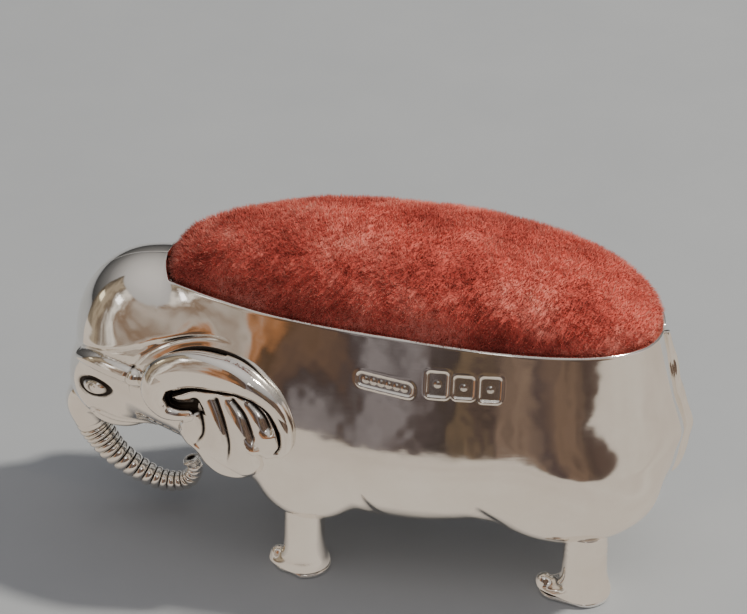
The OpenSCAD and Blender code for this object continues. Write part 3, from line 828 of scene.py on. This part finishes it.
# The cloth simulation runs on an enlarged copy, and moves no point further than the cap
SIM_SCALE, SIM_FRAMES, SIM_CAP, HELD_RINGS = 20.0, 16, 0.9, 3
CLOTH = dict(quality=6, mass=0.4, tension_stiffness=12, compression_stiffness=6, shear_stiffness=4,
             bending_stiffness=1.2, vertex_group_mass="held", use_pressure=True,
             uniform_pressure_force=1.6)


def rim_plan(count):
    """The rim seen from above"""
    front = BARREL_X - OPENING_A
    start = np.array([[SPINE_REAR, 0.0, RIM_REAR_Z]])
    rear = SPINE_REAR + reach(start, np.array([[1.0, 0.0, 0.0]]))[0]
    middle, half = (front + rear) / 2, (rear - front) / 2 - 0.01
    phi = round_angles(count)
    x = middle + half * np.sign(np.cos(phi)) * np.abs(np.cos(phi)) ** (2 / PLAN_POWER)
    u = np.minimum(np.abs((x - BARREL_X) / OPENING_A), 1)
    oval = OPENING_B * (1 - u ** OVAL_POWER) ** (1 / OVAL_POWER)
    y = np.sign(np.round(np.sin(phi), 9)) * np.minimum(oval, skin_y(x, rim_z(x)))
    return np.stack([x, y], -1), middle


def inset_line(line, distance):
    along = unit(np.roll(line, -1, 0) - np.roll(line, 1, 0))
    return line + distance * np.stack([-along[:, 1], along[:, 0]], -1)


def dome_height(x, share, crown):
    base = rim_z(x) - DOME_DROP
    rise = np.maximum(1 - share ** DOME_POWER, 0) ** (1 / DOME_POWER)
    return base + (crown - rim_z(BARREL_X) + DOME_DROP) * rise


def cushion_mesh(name):
    plan, middle = rim_plan(PAD_AROUND)
    edge = inset_line(plan, SHEET + PAD_GAP)
    outwards = (plan - edge) / (SHEET + PAD_GAP)
    share = np.sin(np.linspace(0, math.pi / 2, PAD_RINGS)) ** 0.9
    rings = []
    for s in share[1:]:
        x = middle + (edge[:, 0] - middle) * s
        z = dome_height(x, np.full(len(x), s), CROWN_Z)
        above = z - rim_z(edge[:, 0])
        swell = OVERHANG * smooth((above + 0.25) / 0.7) * smooth((4.5 - above) / 3.0)
        swell = swell * (1 + FRONT_SWELL * smooth((-12.0 - edge[:, 0]) / 3.0))
        rings.append(xyz(x + outwards[:, 0] * swell, edge[:, 1] * s + outwards[:, 1] * swell, z))
    for drop in (0.5, 1.2, 2.2, 3.4):
        rings.append(xyz(*edge.T, rim_z(edge[:, 0]) - DOME_DROP - drop))
    rings = np.array(rings)
    crown = np.array([[middle, 0, dome_height(np.array([middle]), np.array([0.0]), CROWN_Z)[0]]])
    points = np.concatenate([rings.reshape(-1, 3), crown])
    n = PAD_AROUND
    faces = [[f[0], f[3], f[2], f[1]] for f in grid_faces(len(rings), n, wrap=True)]
    top = len(points) - 1
    faces += [[top, k, (k + 1) % n] for k in range(n)]
    return make_mesh(name, points, faces), len(rings)


def inflate(piece, rings):
    """Lets the cover settle as cloth over its stuffing, with its edge held below the rim"""
    rest = read_points(piece.data)
    write_points(piece.data, rest * SIM_SCALE)
    group = piece.vertex_groups.new(name="held")
    held = list(range((rings - HELD_RINGS) * PAD_AROUND, rings * PAD_AROUND))
    group.add(held, 1.0, "REPLACE")
    cloth = piece.modifiers.new("cloth", "CLOTH")
    settings = cloth.settings
    for key, value in CLOTH.items():
        setattr(settings, key, value)
    settings.effector_weights.gravity = 0.0
    scene = bpy.context.scene
    for frame_number in range(1, SIM_FRAMES + 1):
        scene.frame_set(frame_number)
    settled = piece.evaluated_get(bpy.context.evaluated_depsgraph_get()).to_mesh()
    moved = read_points(settled) / SIM_SCALE
    piece.modifiers.remove(cloth)
    scene.frame_set(1)
    shift = moved - rest
    far = np.linalg.norm(shift, axis=1, keepdims=True)
    write_points(piece.data, rest + shift * np.minimum(1, SIM_CAP * MM / np.maximum(far, 1e-9)))


def subdivide(piece, levels):
    modifier = piece.modifiers.new("finer", "SUBSURF")
    modifier.levels = modifier.render_levels = levels
    done = bpy.data.meshes.new_from_object(piece.evaluated_get(bpy.context.evaluated_depsgraph_get()))
    piece.modifiers.clear()
    old = piece.data
    piece.data = done
    bpy.data.meshes.remove(old)


# Hollows and swellings of the pad: place, size and depth, which is negative for a swelling
DIMPLES = [((20.9, -5.2), 1.4, 0.35), ((-9.5, -4.8), 2.6, 0.18), ((6.0, -5.5), 3.2, -0.12),
           ((13.5, 1.0), 3.5, 0.15), ((-2.0, 2.0), 4.0, -0.1)]
# How far below the rim the cover's unevenness and its pile begin
VELVET_FOOT = 0.9
# Unevenness of the pad: height, scale and seed of each noise
UNEVEN = ((0.10, 0.28, 11), (0.05, 0.8, 12), (0.035, 2.6, 13), (0.02, 6.0, 14))


def velvet(name):
    piece, rings = cushion_mesh(name)
    inflate(piece, rings)
    subdivide(piece, 2)
    mesh = piece.data
    p, n = read_points(mesh) / MM, read_points(mesh, "normal")
    lift = sum(height * lattice_noise(p, scale, seed) for height, scale, seed in UNEVEN)
    for (x, y), size, depth in DIMPLES:
        lift -= depth * np.exp(-((p[:, 0] - x) ** 2 + (p[:, 1] - y) ** 2) / size ** 2)
    above = smooth((p[:, 2] - rim_z(p[:, 0]) + VELVET_FOOT) / 1.2)
    write_points(mesh, (p + n * (lift * above)[:, None]) * MM)
    mesh.polygons.foreach_set("use_smooth", np.ones(len(mesh.polygons), bool))
    # The cover's edge is closed below, so that the cushion is a solid form
    rework(piece, lambda bm: bmesh.ops.holes_fill(
        bm, edges=[e for e in bm.edges if e.is_boundary], sides=0))
    return piece


# How many fibres there are, how thick they are, and how deep each is rooted
FIBRES, FIBRE_R, FIBRE_ROOT = 60000, 0.030, 0.05
# A fibre's least length, how much longer it may be, what a stray one adds, and the draw that makes a stray
FIBRE_SHORT, FIBRE_SPREAD, FIBRE_STRAY, STRAY_FROM = 0.34, 0.22, 0.12, 0.97


def pile(name, cover):
    """Short velvet pile: thin closed spikes standing on the cover"""
    mesh = cover.data
    mesh.calc_loop_triangles()
    corners = np.zeros(len(mesh.loop_triangles) * 3, np.int32)
    mesh.loop_triangles.foreach_get("vertices", corners)
    corners = corners.reshape(-1, 3)
    p, n = read_points(mesh) / MM, read_points(mesh, "normal")
    a, b, c = (p[corners[:, k]] for k in range(3))
    area = np.linalg.norm(np.cross(b - a, c - a), axis=1) / 2
    middle = (a + b + c) / 3
    area = area * (middle[:, 2] > rim_z(middle[:, 0]) - VELVET_FOOT)
    pick = RNG.choice(len(area), FIBRES, p=area / area.sum())
    u, v = RNG.random(FIBRES), RNG.random(FIBRES)
    over = u + v > 1
    u[over], v[over] = 1 - u[over], 1 - v[over]
    w = 1 - u - v

    def mixed(values):
        return sum(values[corners[pick, k]] * share[:, None] for k, share in enumerate((w, u, v)))
    root, up = mixed(p), unit(mixed(n))
    lay = xyz(*(lattice_noise(root, 0.35, s) for s in (21, 22, 23)))
    clump = xyz(*(lattice_noise(root, 1.7, s) for s in (24, 25, 26)))
    stray = RNG.normal(0, 0.35, (FIBRES, 3))
    way = unit(up + 0.75 * lay + 0.55 * clump + stray)
    way = unit(way + up * np.maximum(0.25 - (way * up).sum(1), 0)[:, None])
    length = FIBRE_SHORT + FIBRE_SPREAD * RNG.random(FIBRES) + FIBRE_STRAY * (RNG.random(FIBRES) > STRAY_FROM)
    length = length * (0.25 + 0.75 * smooth(root[:, 2] - rim_z(root[:, 0]) + 0.7))
    side = unit(np.cross(way, up + 0.01))
    other = np.cross(way, side)
    base = root - up * FIBRE_ROOT
    ring = [base + FIBRE_R * (math.cos(t) * side + math.sin(t) * other) for t in (0, 2.094, 4.189)]
    points = np.stack(ring + [root + way * length[:, None]], 1).reshape(-1, 3)
    i = np.arange(FIBRES)[:, None] * 4
    faces = np.concatenate([i + [0, 1, 3], i + [1, 2, 3], i + [2, 0, 3], i + [2, 1, 0]]).tolist()
    tone = np.repeat(RNG.random(FIBRES), 4)
    # A slow mottle over the pile: wear, and painted sheen of the nap
    worn = np.repeat(0.5 + 0.5 * lattice_noise(root, 0.5, 31), 4)
    return make_mesh(name, points, faces, tone=tone, worn=worn)


# -------- materials

class Nodes:
    """The node tree of a material or a world, with short ways to add nodes and join them"""

    def __init__(self, owner):
        owner.use_nodes = True
        self.all, self.links = owner.node_tree.nodes, owner.node_tree.links

    def fill(self, node, inputs):
        """Joins each of a node's inputs to an output, or gives it a value of its own"""
        for key, value in inputs.items():
            if hasattr(value, "links"):
                self.links.new(value, node.inputs[key])
            else:
                node.inputs[key].default_value = value
        return node

    def add(self, kind, inputs=None, **settings):
        node = self.all.new("ShaderNode" + kind)
        for key, value in settings.items():
            setattr(node, key, value)
        return self.fill(node, inputs or {})

    def place(self):
        return self.add("TexCoord").outputs["Object"]

    def stretched(self, scale, turn=(0.0, 0.0, 0.0)):
        mapping = self.add("Mapping", {"Vector": self.place(), "Scale": scale, "Rotation": turn})
        return mapping.outputs["Vector"]

    def layer(self, name):
        """A value that the mesh carries at each point"""
        return self.add("Attribute", attribute_name=name).outputs["Fac"]

    def noise(self, place, scale, detail=4.0, roughness=0.5):
        return self.add("TexNoise", {"Vector": place, "Scale": scale, "Detail": detail,
                                     "Roughness": roughness}).outputs["Fac"]

    def ramp(self, value, *stops):
        node = self.add("ValToRGB", {"Fac": value})
        elements = node.color_ramp.elements
        while len(elements) < len(stops):
            elements.new(0.5)
        for element, (at, colour) in zip(elements, stops):
            element.position = at
            element.color = (*colour, 1)
        return node.outputs["Color"]

    def clouds(self, scale, detail, roughness, low, high):
        """Two colours that run softly into each other"""
        return self.ramp(self.noise(self.place(), scale, detail, roughness), (0.3, low), (0.7, high))

    def math(self, how, *values):
        return self.add("Math", dict(enumerate(values)), operation=how).outputs[0]

    def weighed(self, *parts):
        """The sum of some values, each times its weight"""
        total, *others = (self.math("MULTIPLY", value, weight) for value, weight in parts)
        for other in others:
            total = self.math("ADD", total, other)
        return total

    def bump(self, height, strength, distance):
        return self.add("Bump", {"Height": height, "Strength": strength,
                                 "Distance": distance}).outputs["Normal"]


def new_material(name):
    material = bpy.data.materials.new(name)
    return material, Nodes(material)


def shaded(material, n, colour, **inputs):
    """Sets the shader's colour and its other inputs, whose names have underscores for spaces"""
    inputs = {key.replace("_", " "): value for key, value in inputs.items()}
    n.fill(n.all["Principled BSDF"], {"Base Color": colour, **inputs})
    return material


def silver_material(name="polished_silver"):
    """Polished silver with fine scratches, faint tarnish, and dark where the dark layer says: tarnished in
    engraved lines and marks, and painted shade round and under the ears, in the ears' hollows and in the
    trunk's grooves and nostril
    """
    material, n = new_material(name)
    place, oxide_and_shade = n.place(), n.layer("dark")
    tarnish = n.ramp(n.noise(place, 240.0, 5.0, 0.6), (0.35, (0.95, 0.92, 0.88)),
                     (0.7, (0.90, 0.865, 0.81)))
    grit = n.math("MULTIPLY", n.math("SUBTRACT", n.noise(place, 2600.0, 3.0, 0.6), 0.5), 0.5)
    # The dark layer turns the silver near-black: tarnish in engraved lines and marks, and painted shade where
    # shade falls
    share = n.math("MULTIPLY", n.math("ADD", oxide_and_shade, grit), oxide_and_shade)
    stain_and_shade = n.ramp(share, (0.03, (0, 0, 0)), (0.62, (1, 1, 1)))
    colour = n.add("Mix", {0: stain_and_shade, 6: tarnish, 7: (0.030, 0.024, 0.020, 1)}, data_type="RGBA")
    scratches = n.noise(n.stretched((1.0, 1.0, 9.0), (0.3, 0.5, 0.2)), 900.0, 6.0, 0.7)
    rough = n.math("MULTIPLY_ADD", scratches, 0.11, 0.035)
    return shaded(material, n, colour.outputs[2], Metallic=1.0, Normal=n.bump(scratches, 0.05, 0.00003),
                  Roughness=n.math("ADD", rough, n.math("MULTIPLY", stain_and_shade, 0.35)))


def velvet_material(name, fibre):
    """Red velvet with wear, its colour mottled at random from painted shade to a pale painted sheen, lighter
    also where the pile is rubbed
    """
    material, n = new_material(name)
    place = n.place()
    fine = n.noise(place, 1500.0, 4.0, 0.7)
    shade = n.weighed((n.noise(place, 170.0, 4.0, 0.6), 0.7), (fine, 0.3))
    if fibre:
        shade = n.weighed((shade, 0.6), (n.layer("tone"), 0.25), (n.layer("worn"), 0.15))
    # From painted shade through the velvet's red to a pale painted highlight of its sheen
    colour = n.ramp(shade, (0.36, (0.30, 0.035, 0.030)), (0.50, (0.68, 0.12, 0.095)),
                    (0.62, (0.88, 0.29, 0.235)), (0.80, (0.98, 0.55, 0.47)))
    return shaded(material, n, colour, Normal=n.bump(fine, 0.5, 0.0002), Roughness=0.85, Sheen_Weight=0.5,
                  Sheen_Roughness=0.4, Sheen_Tint=(1.0, 0.55, 0.45, 1.0), Specular_IOR_Level=0.2)


def plain_material(name, dark_colour, light_colour, scale, roughness=0.9, weave=False):
    """Fibrous hidden materials: cotton, sawdust, card, thread and wadding"""
    material, n = new_material(name)
    place = n.place()
    grain = n.noise(place, scale, 6.0, 0.65)
    if weave:
        wave = n.add("TexWave", {"Vector": place, "Scale": 900.0, "Distortion": 0.6},
                     wave_type="BANDS", bands_direction="X")
        grain = n.weighed((grain, 0.6), (wave.outputs["Fac"], 0.4))
    return shaded(material, n, n.ramp(grain, (0.3, dark_colour), (0.7, light_colour)),
                  Normal=n.bump(grain, 0.6, 0.0002), Roughness=roughness)


def give(piece, material):
    piece.data.materials.clear()
    piece.data.materials.append(material)


# -------- building the object

SILVER = silver_material()


def add_silver(piece, node):
    give(piece, SILVER)
    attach(piece, "root")
    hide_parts(node)


def build_silver():
    add_silver(half_shell("shell_left", True), "body_shell_left")
    right = half_shell("shell_right_form", False)
    add_silver(mirrored(right, "shell_right"), "body_shell_right")
    bpy.data.objects.remove(right)
    left_ear = ear("ear_left_piece")
    add_silver(left_ear, "ear_left")
    add_silver(mirrored(left_ear, "ear_right_piece"), "ear_right")
    add_silver(trunk("trunk_piece"), "trunk")
    add_silver(tail("tail_piece"), "tail")
    for place, (x, r, top, toe, rings) in LEGS.items():
        for hand, side in (("left", -1), ("right", 1)):
            add_silver(leg(f"leg_{place}_{hand}_piece", x, side, r, top, toe, rings), f"leg_{place}_{hand}")
            add_silver(sole(f"sole_{place}_{hand}_piece", x, side, toe), f"sole_{place}_{hand}")


def build_cushion():
    cover = velvet("velvet_cushion")
    give(cover, velvet_material("velvet_ground", False))
    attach(cover, "root")
    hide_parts("velvet_cover")
    nap = pile("velvet_pile", cover)
    give(nap, velvet_material("velvet_pile_fibres", True))
    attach(nap, "root")


def dress_hidden_nodes():
    materials = dict(
        cotton_bag=plain_material("cotton", (0.55, 0.50, 0.40), (0.80, 0.75, 0.63), 1400.0, 0.9, True),
        stuffing=plain_material("sawdust", (0.36, 0.24, 0.13), (0.68, 0.52, 0.34), 1900.0),
        backing_card=plain_material("card", (0.40, 0.33, 0.23), (0.58, 0.49, 0.36), 700.0, 0.8),
        gather_thread=plain_material("linen_thread", (0.62, 0.58, 0.50), (0.86, 0.83, 0.75), 2500.0),
        belly_packing=plain_material("wadding", (0.55, 0.51, 0.44), (0.82, 0.79, 0.72), 600.0),
    )
    for node, material in materials.items():
        give(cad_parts[node], material)


# -------- stage, light and camera

AZIMUTH, ELEVATION, DISTANCE = 10.0, 32.0, 260.0
AIM = Vector((0.0, 0.0, 20.2 * MM))
LIGHT_AIM = Vector((0.0, 0.0, 0.01))
LENS, SENSOR = 161.6, 36.0
FLOOR_SIZE = 2400.0


def from_azimuth(azimuth, elevation, distance):
    """A place in metres, as seen round the object from straight in front of its left side"""
    a, e = math.radians(azimuth), math.radians(elevation)
    way = Vector((math.sin(a) * math.cos(e), -math.cos(a) * math.cos(e), math.sin(e)))
    return way * (distance * MM)


def stand(thing, where, target=AIM, axes=("-Z", "Y")):
    """Puts a thing somewhere, turned towards a target"""
    thing.location = where
    thing.rotation_euler = (target - thing.location).to_track_quat(*axes).to_euler()


def make_camera():
    data = bpy.data.cameras.new("camera")
    data.lens, data.sensor_width = LENS, SENSOR
    data.clip_start, data.clip_end = 0.01, 10.0
    camera = put_in_scene("camera", data)
    stand(camera, AIM + from_azimuth(AZIMUTH, ELEVATION, DISTANCE))
    bpy.context.scene.camera = camera


def make_light(name, azimuth, elevation, distance, size, energy, colour):
    data = bpy.data.lights.new(name, "AREA")
    data.shape, data.size = "DISK", size * MM
    data.energy, data.color = energy, colour
    stand(put_in_scene(name, data), from_azimuth(azimuth, elevation, distance), LIGHT_AIM)


def square(name, size, thin_axis):
    corners = np.array([(-1, -1), (1, -1), (1, 1), (-1, 1)]) * size / 2
    return make_mesh(name, np.insert(corners, thin_axis, 0, axis=1), [[0, 1, 2, 3]])


def make_floor():
    floor = square("floor", FLOOR_SIZE, 2)
    material, n = new_material("pale_table")
    colour = n.clouds(60.0, 4.0, 0.6, (0.375, 0.405, 0.455), (0.40, 0.43, 0.48))
    give(floor, shaded(material, n, colour, Roughness=0.6))


def reflection_card(piece, colours, strength=1.0, fade=None):
    """Makes a piece glow in the silver's reflections, and show nowhere else"""
    material, n = new_material(piece.name + "_colours")
    n.all.remove(n.all["Principled BSDF"])
    surface = n.add("Emission", {"Color": colours(n), "Strength": strength}).outputs["Emission"]
    if fade:
        clear = n.add("BsdfTransparent").outputs[0]
        surface = n.add("MixShader", {0: n.layer(fade), 1: clear, 2: surface}).outputs[0]
    n.fill(n.all["Material Output"], {"Surface": surface})
    give(piece, material)
    piece.visible_camera = piece.visible_shadow = piece.visible_diffuse = False


# Colours of the room that the silver mirrors, chosen to suit the photograph's patches, by
# azimuth in degrees from straight in front of the elephant's left side
ROOM = [(-100, (0.10, 0.08, 0.06)), (-84, (0.42, 0.34, 0.24)), (-76, (0.14, 0.10, 0.07)),
        (-66, (0.95, 0.88, 0.78)), (-58, (0.20, 0.12, 0.07)), (-47, (0.50, 0.44, 0.38)),
        (-40, (0.40, 0.17, 0.07)), (-33, (0.08, 0.05, 0.03)), (-25, (0.15, 0.09, 0.06)),
        (-17, (0.055, 0.04, 0.038)), (-10, (0.26, 0.23, 0.23)), (-4, (0.10, 0.075, 0.07)),
        (3, (0.05, 0.038, 0.034)), (7, (0.22, 0.15, 0.09)), (11, (0.05, 0.035, 0.035)),
        (17, (0.25, 0.17, 0.12)), (23, (0.07, 0.05, 0.05)), (33, (0.20, 0.13, 0.09)),
        (42, (0.08, 0.055, 0.045)), (60, (0.14, 0.09, 0.07)), (66, (0.45, 0.30, 0.18)),
        (74, (0.85, 0.76, 0.70)), (96, (0.86, 0.79, 0.79)), (104, (0.40, 0.38, 0.37)),
        (120, (0.36, 0.35, 0.35))]
ROOM_FIRST, ROOM_LAST = ROOM[0][0], ROOM[-1][0]
ROOM_R, ROOM_FOOT, ROOM_TOP, ROOM_TOP_LEFT = 115.0, 34.0, 78.0, 125.0
# Azimuths between which the room's foot rises on the right, its top rises on the left, and its colours
# begin to slant, by a share of the band
FOOT_RISES, TOP_RISES, SLANTS, ROOM_SLANT = (32.0, 74.0), (-8.0, -36.0), (30.0, 50.0), 0.05
# Half length and half width of the sunny table's rings, from the object's foot to the room
TABLE_RINGS = ((22.0, 4.5), (27.0, 9.0), (60.0, 60.0), (ROOM_R, ROOM_R))
TABLE_HEIGHT = 0.3


def room_foot(azimuth):
    """Height where the room starts above the table: it lies further off to the right"""
    return ROOM_FOOT * between(azimuth, *FOOT_RISES)


def room_top(azimuth):
    return ROOM_TOP + (ROOM_TOP_LEFT - ROOM_TOP) * between(azimuth, *TOP_RISES)


def round_arc(count):
    """Azimuths across the room, and the way to each on the ground"""
    azimuth = np.linspace(ROOM_FIRST, ROOM_LAST, count)
    turn = np.radians(azimuth)
    return azimuth, xyz(np.sin(turn), -np.cos(turn), 0.0)


def make_room():
    azimuth, ring = round_arc(121)
    points = np.concatenate([ring * ROOM_R + xyz(0.0, 0.0, edge(azimuth)) for edge in (room_foot, room_top)])
    along = (azimuth - ROOM_FIRST) / (ROOM_LAST - ROOM_FIRST)
    along = np.concatenate([along, along + ROOM_SLANT * between(azimuth, *SLANTS)])

    def colours(n):
        cloud = n.noise(n.stretched((1.0, 1.0, 0.35)), 90.0, 4.0, 0.6)
        shift = n.math("MULTIPLY", n.math("SUBTRACT", cloud, 0.5), 0.17)
        stops = [((a - ROOM_FIRST) / (ROOM_LAST - ROOM_FIRST), c) for a, c in ROOM]
        return n.ramp(n.math("ADD", n.layer("along"), shift), *stops)
    reflection_card(make_mesh("room", points, grid_faces(2, len(ring)), along=along), colours)


def make_sunny_table():
    """The sunlit table in front, which the lower half of the body mirrors"""
    azimuth, ring = round_arc(89)
    rings = [ring * np.array([a, b, 0]) + np.array([0, 0, TABLE_HEIGHT]) for a, b in TABLE_RINGS]
    rings.append(rings[-1] + xyz(0.0, 0.0, room_foot(azimuth)))
    fade = np.ones(len(rings) * len(ring))
    fade[:len(ring)] = 0.0
    table = make_mesh("sunny_table", np.concatenate(rings), grid_faces(len(rings), len(ring)), fade=fade)
    reflection_card(table, lambda n: n.clouds(25.0, 3.0, 0.5, (0.61, 0.53, 0.45), (0.71, 0.635, 0.55)),
                    fade="fade")


# Azimuth, elevation, distance and size of each window card, its colour and its strength
WINDOWS = dict(window=(12, 42, 420, 60, (1.0, 0.97, 0.92), 4.0),
               window_left=(-68, 36, 132, 15, (1.0, 0.97, 0.95), 2.5),
               window_far_left=(-92, 22, 118, 13, (1.0, 0.88, 0.62), 1.6))


def make_windows():
    for name, (azimuth, elevation, distance, size, colour, strength) in WINDOWS.items():
        pane = square(name, size, 1)
        stand(pane, from_azimuth(azimuth, elevation, distance), axes=("-Y", "Z"))
        dimmer = tuple(0.9 * c for c in colour)
        reflection_card(pane, lambda n: n.clouds(8.0, 2.0, 0.5, dimmer, colour), strength)


def make_world():
    world = bpy.data.worlds.new("room")
    bpy.context.scene.world = world
    n = Nodes(world)
    way = n.add("SeparateXYZ", {0: n.add("TexCoord").outputs["Generated"]})
    sky = n.ramp(way.outputs["Z"], (0.0, (0.05, 0.05, 0.05)), (0.35, (0.17, 0.165, 0.16)),
                 (1.0, (0.70, 0.67, 0.645)))
    n.fill(n.all["Background"], {"Color": sky, "Strength": 1.0})


def set_stage():
    make_camera()
    make_floor()
    make_world()
    make_light("key", azimuth=110, elevation=53, distance=900, size=70, energy=8.0, colour=(1.0, 0.92, 0.77))
    make_room()
    make_sunny_table()
    make_windows()


set_stage()
build_silver()
build_cushion()
dress_hidden_nodes()

bpy.context.view_layer.update()
